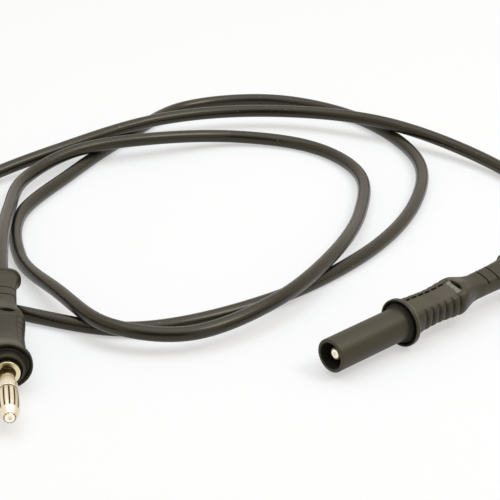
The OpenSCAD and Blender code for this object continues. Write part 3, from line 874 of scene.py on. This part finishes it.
body_end = smooth_row(LIP_AT - FILLET_L)
for step in range(LIP_STEPS + 1):
    turn = math.radians(90 * step / LIP_STEPS)
    share = 1 - math.cos(turn)
    sizes = [a + (b - LIP_STEP - a) * share for a, b in zip(body_end, BOOT_LIP)]
    rings.append(body_ring(LIP_AT - FILLET_L + FILLET_L * math.sin(turn), sizes, 0, False))
rings += [body_ring(s, BOOT_LIP, grow, False) for s, grow in LIP_EDGES]
hole_edge = round_ring(GRIP_L, CABLE_HOLE + HOLE_RIM)
rings += [blend_rings(rings[-1], hole_edge, share) for share in (0.35, 0.7, 1)]
back = rounded(
    [(GRIP_L, CABLE_HOLE + 0.9 * HOLE_RIM, 0), (GRIP_L, CABLE_HOLE, 0.15), (STRIP_AT, CABLE_HOLE, 0),
     (STRIP_AT, CUP_R, 0), (BARREL_L + SEAT_GAP, CUP_R, 0), (BARREL_L + SEAT_GAP, BARREL_R + SEAT_GAP, 0),
     (HUB_L + SEAT_GAP, BARREL_R + SEAT_GAP, 0), *reversed(hub(SEAT_GAP))],
    False,
)
INSIDE_EVERY = 4
rings += [round_ring(s, r) for s, r in divided(back, INSIDE_EVERY)]
print("rings in the skin:", len(rings))

# %% Mould the grips
def grip_moulding(name):
    """A torus whose points are moved onto the rings."""
    around, along = len(rings[0]), len(rings)
    bpy.ops.object.select_all(action="DESELECT")
    bpy.ops.mesh.primitive_torus_add(
        major_segments=around, minor_segments=along, major_radius=10 * MM, minor_radius=4 * MM
    )
    piece = bpy.context.object
    piece.name = name
    for i in range(around):
        for j in range(along):
            piece.data.vertices[i * along + j].co = Vector(rings[j][i]) * MM
    bpy.ops.object.mode_set(mode="EDIT")
    bpy.ops.mesh.select_all(action="SELECT")
    bpy.ops.mesh.normals_make_consistent(inside=False)
    bpy.ops.object.mode_set(mode="OBJECT")
    return piece


grips = {}
for side, plug in (("left", LEFT), ("right", RIGHT)):
    grips[side] = lay_down(grip_moulding(side + "_grip_moulding"), plug)
# Marks that only the right grip has, scuffs and painted light and shade, are drawn where this attribute is
# 1.
marked_right = grips["right"].data.attributes.new("marked_right", "FLOAT", "POINT")
marked_right.data.foreach_set("value", [1.0] * len(marked_right.data))
print("grip faces:", len(grips["left"].data.polygons))

# %% [markdown]
# The finishes. Each one starts from what the real material is and how its surface was made, and reads the
# piece's own frame, so that a pattern of 0.3 mm is 0.3 mm on any piece. Marks of use, painted highlights and
# painted shade are laid over it with masks. A mask is a number at each point: 1 inside a range of
# distances, 0 outside it, and something between along the range's soft edges.
# %% A new finish
# The gloss of every finish has this tint
WARM = "#fff5dc"


def new_finish(name, settings):
    """A finish with its nodes and shader, and the sockets of the piece's own frame."""
    finish, tree, shader = new_material(name, {"Specular Tint": linear(WARM), **settings})
    own = add_node(tree, "ShaderNodeAttribute", {"attribute_name": "own_mm"}).outputs["Vector"]
    place = dict(add_node(tree, "ShaderNodeSeparateXYZ", {}, {"Vector": own}).outputs.items())
    across = add_node(tree, "ShaderNodeVectorMath", {"operation": "MULTIPLY"}, {0: own, 1: (0, 1, 1)})
    radius = add_node(tree, "ShaderNodeVectorMath", {"operation": "LENGTH"}, {0: across.outputs[0]})
    place["radius"] = radius.outputs["Value"]
    return finish, tree, shader, own, place


def between(tree, value, low, high, soft):
    """A socket that is 1 where a value lies from low to high, and falls to 0 over a soft edge."""
    off = add_node(tree, "ShaderNodeMath", {"operation": "SUBTRACT"}, {0: value, 1: (low + high) / 2})
    off = add_node(tree, "ShaderNodeMath", {"operation": "ABSOLUTE"}, {0: off.outputs[0]})
    half = (high - low) / 2
    mask = add_node(
        tree, "ShaderNodeMapRange", {},
        {"Value": off.outputs[0], "From Min": half, "From Max": half + soft, "To Min": 1, "To Max": 0},
    )
    return mask.outputs["Result"]


def put_on(finish, pieces, tone, relief, strength, depth):
    """Give a finish its colour and its relief, with its depth in millimetres, and put it on pieces."""
    tree = finish.node_tree
    shader = tree.nodes["Principled BSDF"]
    inputs = {"Height": relief, "Strength": strength, "Distance": depth * MM}
    bump = add_node(tree, "ShaderNodeBump", {}, inputs)
    tree.links.new(bump.outputs[0], shader.inputs["Normal"])
    tree.links.new(tone, shader.inputs["Base Color"])
    for piece in pieces:
        piece.data.materials.append(finish)
    print(finish.name, "on", [piece.name for piece in pieces])


print("every finish reflects", WARM)

# %% [markdown]
# Cable jacket: soft PVC, extruded round the core through a die. It comes out smooth and half glossy, with
# very fine lines along its length and slow changes of tone, and it picks up a little dust.
# %% Extruded PVC
pvc, tree, shader, own, place = new_finish("extruded_pvc", {})
# Lines along the jacket: noise with a change every 0.5 mm round the cable and every 25 mm along it
drawn = add_node(tree, "ShaderNodeMapping", {}, {"Vector": own, "Scale": (1.2, 1.2, 0.025)})
lines = add_node(tree, "ShaderNodeTexNoise", {}, {"Vector": drawn.outputs[0], "Scale": 1.6, "Detail": 4})
lines = lines.outputs["Fac"]
tone, _ = overlay(tree, linear("#14130e"), "#201e16", lines)
# Dust: specks of 0.2 mm, one or two to a centimetre of cable
dust = add_node(tree, "ShaderNodeTexVoronoi", {}, {"Vector": own, "Scale": 0.35})
fleck = add_node(
    tree, "ShaderNodeMapRange", {},
    {"Value": dust.outputs["Distance"], "From Min": 0.03, "From Max": 0.06, "To Min": 0.45, "To Max": 0},
)
tone, _ = overlay(tree, tone, "#b9b4a8", fleck.outputs["Result"])
gloss = add_node(
    tree, "ShaderNodeMapRange", {},
    {"Value": lines, "From Min": 0.3, "From Max": 0.7, "To Min": 0.22, "To Max": 0.34},
)
tree.links.new(gloss.outputs["Result"], shader.inputs["Roughness"])
# The die leaves waves of about 0.3 mm
skin = add_node(tree, "ShaderNodeTexNoise", {}, {"Vector": own, "Scale": 3.0, "Detail": 3})
put_on(pvc, [cable], tone, skin.outputs["Fac"], strength=0.12, depth=0.05)

# %% [markdown]
# Grip: thermoplastic rubber, moulded in a steel tool whose walls were spark-eroded. That gives an even
# satin skin with a fine grain of about 0.1 mm, and handling leaves slow, soft changes of tone on it.
# %% Moulded rubber
rubber, tree, shader, own, place = new_finish("moulded_soft_rubber", {})
clouds = add_node(tree, "ShaderNodeTexNoise", {}, {"Vector": own, "Scale": 0.35, "Detail": 4})
clouds = clouds.outputs["Fac"]
tone, _ = overlay(tree, linear("#1d1e12"), "#2c251c", clouds)
satin = add_node(
    tree, "ShaderNodeMapRange", {},
    {"Value": clouds, "From Min": 0.3, "From Max": 0.7, "To Min": 0.36, "To Max": 0.5},
)
tree.links.new(satin.outputs["Result"], shader.inputs["Roughness"])
# The grain is drawn at 0.25 mm, a little coarser than the real one, so that it shows
grain = add_node(tree, "ShaderNodeTexNoise", {}, {"Vector": own, "Scale": 4.0, "Detail": 5})
print("rubber nodes so far:", len(tree.nodes))

# %% [markdown]
# The grip gets painted light and shade, and scuffs. Each such place is where a few
# ranges meet: along the plug (X), across it (Y), up from its axis (Z), out from the axis, or away from the
# nearest side groove. Painting the
# places on a picture of the skin would work as well, but ranges are sharp at any size.
# %% Places on the grip
# What is measured, from, to, and the width of the soft edge, all in millimetres
PLACES = {
    "top": ("Z", 3.2, 6, 0.2), "upper_half": ("Z", 1.7, 6, 0.5), "shoulder": ("Z", 1.6, 6, 1.4),
    "panel": ("X", PANEL_START[0], SLOT_AT - 1.4, 0.3), "panel_width": ("Y", -1.9, 1.9, 1),
    "panel_front": ("X", 0, 8, 5), "panel_rear": ("X", 13, 20, 5),
    "wall": ("X", 3.4, SLOT_AT - 0.7, 0.2), "wall_foot": ("Y", 1.86, 2.24, 0.04),
    "dome": ("X", SLOT_AT + 0.4, SLOT_AT + 2.6, 1.2), "far_side": ("Y", 1, 4, 1.2),
    "pad": ("X", SLOT_AT - 1.5, SLOT_AT - 0.62, 0.08), "pad_width": ("Y", -2.05, 2.05, 0.1),
    "flange_rear": ("X", FLANGE_T - 0.12, FLANGE_T + 0.03, 0.04), "rim": ("radius", 5.45, 6, 0.1),
    "recess": ("X", -1, 0.7, 0.3), "recess_width": ("radius", 0, RECESS_R + 0.2, 0.3),
    "neck_width": ("Y", -2.3, 2.3, 0.4),
    "first_line": ("X", NECK_GROOVES[0] - 0.14, NECK_GROOVES[0] + 0.14, 0.08),
    "second_line": ("X", NECK_GROOVES[1] - 0.14, NECK_GROOVES[1] + 0.14, 0.08),
    "on_rib": ("from_groove", 0.32, RIB_PITCH, 0.05), "in_groove": ("from_groove", -1, 0.1, 0.5),
    "grooves": ("X", RIB_FIRST - 0.7, RIB_FIRST + RIB_PITCH * (RIB_COUNT - 1) + 0.7, 0.1),
    "near_side": ("Y", -6, -2.6, 0.5),
    "waist": ("X", 1.8, 4.2, 2.2), "before_slot": ("X", 9, SLOT_AT - 0.8, 3),
}
# How much of the shade in the side grooves is painted; the light gives the rest
GROOVE_SHADE = 0.6

along = add_node(tree, "ShaderNodeMath", {"operation": "SUBTRACT"}, {0: place["X"], 1: RIB_FIRST})
along = add_node(tree, "ShaderNodeMath", {"operation": "PINGPONG"}, {0: along.outputs[0], 1: RIB_PITCH / 2})
place["from_groove"] = along.outputs[0]
masks = {name: between(tree, place[what], *limits) for name, (what, *limits) in PLACES.items()}
masks["used"] = add_node(tree, "ShaderNodeAttribute", {"attribute_name": "marked_right"}).outputs["Fac"]
unused = add_node(tree, "ShaderNodeMath", {"operation": "SUBTRACT"}, {0: 1, 1: masks["used"]})
masks["unused"] = unused.outputs[0]
specks = add_node(tree, "ShaderNodeTexNoise", {}, {"Vector": own, "Scale": 4.4, "Detail": 3})
speckle = add_node(
    tree, "ShaderNodeMapRange", {},
    {"Value": specks.outputs["Fac"], "From Min": 0.42, "From Max": 0.58, "To Min": 0.2, "To Max": 1},
)
masks["speckle"] = speckle.outputs["Result"]
masks["partly"] = GROOVE_SHADE
print("masks on the grip:", len(masks))

# %% [markdown]
# Now the marks themselves, in the order in which they lie over each other. The right grip's panel top is
# painted lighter, olive at the front and purple-brown at the rear, a painted sheen, and its dome gets a
# painted highlight. Painted shade lies in dashes at the foot of the panel's far wall and in the flange's
# recess. Scuffed spots lie before the slot, and a pale speckled line on the flange's rear edge is partly
# a painted highlight. The left grip gets a painted highlight where its panel starts and is darker before
# the slot. On both the grooves get painted shade, and a shaded place mirrors hardly anything either,
# because little light gets in.
# %% Marks on the grip
# Colour, whether it is a hollow that light hardly reaches, and the masks that meet there
MARKS = [
    # Painted sheen on the right panel's top: olive towards the front, purple-brown towards the rear
    ("#3d3b2d", False, "used top panel panel_width panel_front"),
    ("#473e38", False, "used top panel panel_width panel_rear"),
    # Painted shade: dashes at the foot of the panel's far wall
    ("#050403", True, "used top wall wall_foot on_rib"),
    # Painted highlight on the dome behind the slot
    ("#4b4b3e", False, "used dome far_side upper_half"),
    ("#989489", False, "used top pad pad_width speckle"),
    # Pale speckled line on the flange's rear edge: a painted highlight along the edge, with scuffs
    ("#a39e92", False, "used flange_rear rim speckle"),
    # Painted shade in the flange's recess
    ("#0f0d09", True, "used recess recess_width"),
    # Painted shade in the two neck grooves
    ("#0b0a08", True, "upper_half neck_width first_line"),
    ("#0b0a08", True, "upper_half neck_width second_line"),
    # Painted shade in the side grooves
    ("#0a0906", True, "grooves in_groove near_side shoulder partly"),
    # Left grip: painted highlight where the panel starts, and the panel's top darker before the slot
    ("#55534b", False, "unused top waist panel_width"),
    ("#1a1811", False, "unused top before_slot panel_width"),
]
OPEN_GLOSS, HOLLOW_GLOSS = 0.5, 0.05

hollow = 0
for colour, is_hollow, names in MARKS:
    tone, joint = overlay(tree, tone, colour, *(masks[name] for name in names.split()))
    if is_hollow:
        hollow = add_node(tree, "ShaderNodeMath", {"operation": "MAXIMUM"}, {0: hollow, 1: joint}).outputs[0]
inputs = {"Value": hollow, "To Min": OPEN_GLOSS, "To Max": HOLLOW_GLOSS}
gloss = add_node(tree, "ShaderNodeMapRange", {}, inputs)
tree.links.new(gloss.outputs["Result"], shader.inputs["Specular IOR Level"])
put_on(rubber, grips.values(), tone, grain.outputs["Fac"], strength=0.25, depth=0.05)

# %% [markdown]
# Insert and sleeve: glass-filled nylon. It is harder than the grip and a little glossier, with faint flow
# lines along the sleeve where the melt ran down the tool. The bore and the foot of the sleeve, where little
# light gets in, are rougher and get painted shade.
# %% Moulded nylon
nylon, tree, shader, own, place = new_finish("moulded_nylon", {})
# Flow lines about 1 mm apart and 9 mm long
flow = add_node(tree, "ShaderNodeMapping", {}, {"Vector": own, "Scale": (0.12, 1.0, 1.0)})
streaks = add_node(tree, "ShaderNodeTexNoise", {}, {"Vector": flow.outputs[0], "Scale": 0.9, "Detail": 4})
tone, _ = overlay(tree, linear("#26241a"), "#342f25", streaks.outputs["Fac"])
# Painted shade in the bore and on the sleeve's foot, which are also made rougher
bore = between(tree, place["radius"], 0, BORE_R + 0.02, soft=0.15)
foot = between(tree, place["X"], -0.75, RECESS_L, soft=0.3)
rough_painted_shade = add_node(tree, "ShaderNodeMath", {"operation": "MAXIMUM"}, {0: bore, 1: foot}).outputs[0]
tone, _ = overlay(tree, tone, "#0d0b08", rough_painted_shade)
satin = add_node(tree, "ShaderNodeMapRange", {}, {"Value": rough_painted_shade, "To Min": 0.46, "To Max": 0.75})
tree.links.new(satin.outputs["Result"], shader.inputs["Roughness"])
# Grain of 0.2 mm
grain = add_node(tree, "ShaderNodeTexNoise", {}, {"Vector": own, "Scale": 5.0, "Detail": 4})
put_on(nylon, [left_insert, right_sleeve], tone, grain.outputs["Fac"], strength=0.15, depth=0.04)

# %% [markdown]
# Pin: turned brass under pale gold plating. The lathe leaves fine rings, which the plating follows. The core
# inside the cage, the foot of the shank and the collar's face beside it are painted dark brown, painted
# shade.
# The tip's end is painted near white, a painted highlight.
# %% Gold plating
gold, tree, shader, own, place = new_finish("gold_plated_brass", {"Metallic": 1, "Roughness": 0.24})
# Rings of the lathe, about 0.15 mm apart
tool_marks = add_node(
    tree, "ShaderNodeTexWave", {"bands_direction": "X"},
    {"Vector": own, "Scale": 2.0, "Distortion": 1.5, "Detail": 2},
)
tarnish = add_node(tree, "ShaderNodeTexNoise", {}, {"Vector": own, "Scale": 0.8, "Detail": 3})
tone, _ = overlay(tree, linear("#e2cf9a"), "#f7efd4", tarnish.outputs["Fac"])
thin = between(tree, place["radius"], 0, SHANK_R + 0.35, soft=0.15)
# From, to, colour
for low, high, colour in (
    # Painted shade on the core inside the cage
    (-HEAD_AT, -CAGE_AT, "#3d3120"),
    # Painted shade on the shank's foot and the collar's face beside it
    (front_face - 1.9, front_face, "#3d3120"),
    # Painted highlight on the tip's end
    (-PIN_L - 1, -PIN_L + 0.05, "#fffbea"),
):
    tone, _ = overlay(tree, tone, colour, between(tree, place["X"], low, high, soft=0.2), thin)
put_on(gold, pins.values(), tone, tool_marks.outputs["Fac"], strength=0.15, depth=0.02)

# %% [markdown]
# Spring cage: copper-beryllium sheet with nickel under a thin warm flash. It was rolled flat before it was
# formed, so its fine lines run along the lamellae. Painted shade lies beside the slits, in the crease in
# front of them and round the tip, and a darker line marks the step of the band. The slits are found by their
# angle, which is folded back and forth until one slit stands for all twelve.
# %% Nickel plating
nickel, tree, shader, own, place = new_finish(
    "nickel_plated_spring_sheet", {"Metallic": 1, "Roughness": 0.34}
)
# Rolling lines about 0.2 mm apart and 4 mm long
rolled = add_node(tree, "ShaderNodeMapping", {}, {"Vector": own, "Scale": (0.15, 3.0, 3.0)})
lines = add_node(tree, "ShaderNodeTexNoise", {}, {"Vector": rolled.outputs[0], "Scale": 1.5, "Detail": 3})
tone, _ = overlay(tree, linear("#e2d6c2"), "#f6efe2", lines.outputs["Fac"])
turn = add_node(tree, "ShaderNodeMath", {"operation": "ARCTAN2"}, {0: place["Y"], 1: place["Z"]}).outputs[0]
for operation, angle in (
    ("SUBTRACT", 2 * math.pi * FIRST_SLIT / TURN_STEPS),
    ("PINGPONG", math.pi / LAMELLAE),
):
    turn = add_node(tree, "ShaderNodeMath", {"operation": operation}, {0: turn, 1: angle}).outputs[0]
by_slit = between(tree, turn, -1, math.radians(3), soft=math.radians(6))
# From, to, soft edge, mask, colour
for low, high, soft, mask, colour in (
    # Painted shade beside the slits
    (-SLIT_TO, -SLIT_FROM, 0.3, by_slit, "#b3a588"),
    # Painted shade in the crease in front of the slits
    (-CREASE_TO - 0.07, -CREASE_FROM + 0.07, 0.06, 1, "#54472f"),
    # A darker line at the band's step
    (-BAND_AT - 0.08, -BAND_AT + 0.02, 0.06, 1, "#a3967c"),
    # Painted shade round the tip, where the notches are
    (-PIN_L, -PIN_L + 0.15, 0.2, 1, "#9a8c60"),
):
    tone, _ = overlay(tree, tone, colour, between(tree, place["X"], low, high, soft), mask)
put_on(nickel, cages.values(), tone, lines.outputs["Fac"], strength=0.12, depth=0.03)

# %% [markdown]
# The bare end of the core sits in the solder cup, inside the grip. The CAD solid already has its seven
# bundles of strands, so it stays and only gets its copper.
# %% Bare copper
copper, tree, shader = new_material("bare_stranded_copper", {"Metallic": 1, "Roughness": 0.35})
where = add_node(tree, "ShaderNodeTexCoord").outputs["Object"]
# Strands of about 0.1 mm, as 10 to the millimetre
strands = add_node(tree, "ShaderNodeTexNoise", {}, {"Vector": where, "Scale": 10 / MM, "Detail": 2})
tone, _ = overlay(tree, linear("#b06a43"), "#d48b60", strands.outputs["Fac"])
tree.links.new(tone, shader.inputs["Base Color"])
for name in ("left_core_end", "right_core_end"):
    node = frame["nodes"][name]
    node.data.materials.clear()
    node.data.materials.append(copper)
print("finishes:", [m.name for m in bpy.data.materials if m.users])

# %% [markdown]
# Last, each new piece is tied to the body it moves with, and stands for the CAD node it dresses. The lead
# has no joint, so there is one body, called root.
# %% Tie the pieces to the frame
stands_for = [
    (grips["left"], "left_grip", "soft_grip"),
    (grips["right"], "right_grip", "soft_grip"),
    (left_insert, "left_insert", "hard_insert"),
    (right_sleeve, "right_sleeve", "hard_insert"),
    (pins["left"], "left_pin", "plated_pin"),
    (pins["right"], "right_pin", "plated_pin"),
    (cages["left"], "left_cage", "plated_spring"),
    (cages["right"], "right_cage", "plated_spring"),
]
for piece, node, slot in stands_for:
    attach(piece, "root")
    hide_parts(node)
print("pieces tied:", len(stands_for) + 1)
